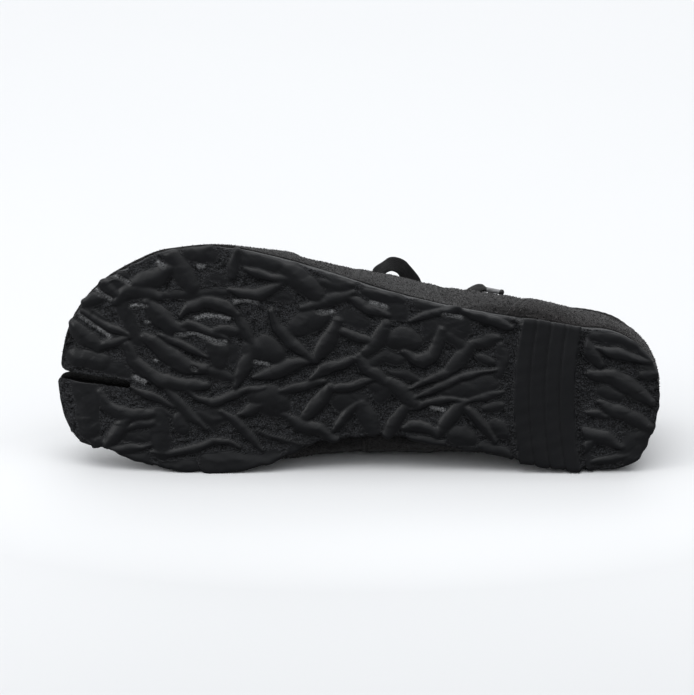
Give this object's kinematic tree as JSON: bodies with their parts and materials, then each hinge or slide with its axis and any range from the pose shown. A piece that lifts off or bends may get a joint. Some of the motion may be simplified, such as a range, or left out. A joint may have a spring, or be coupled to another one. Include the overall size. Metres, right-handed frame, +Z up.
{
  "type": "split-toe sneaker",
  "caption": "Black low-cut split-toe sneaker for the left foot, lying on its medial side, with a rough ridged rubber sole, a fabric upper and flat laces tied in a bow.",
  "frame": {"origin": "middle of the shoe's box, on the floor that it lies on", "axes": "the shoe lies on its medial side: +X runs from toe to heel, +Y from the sole towards the collar, +Z up, towards the lateral side"},
  "size_m": [0.2744, 0.098, 0.1057],
  "materials": {
    "rubber": "satin black moulded rubber",
    "fabric": "matte black napped cloth",
    "tongue_cloth": "matte black cloth",
    "footbed": "matte dark grey cloth over foam",
    "lace": "flat black woven lace"
  },
  "bodies": {
    "root": {"outsole": "rubber", "insole": "footbed", "upper": "fabric", "tongue": "tongue_cloth", "lace_crossings": "lace", "lace_knot": "lace", "lace_loop_lateral": "lace", "lace_loop_medial": "lace", "lace_end_lateral": "lace", "lace_end_medial": "lace"}
  },
  "joints": []
}
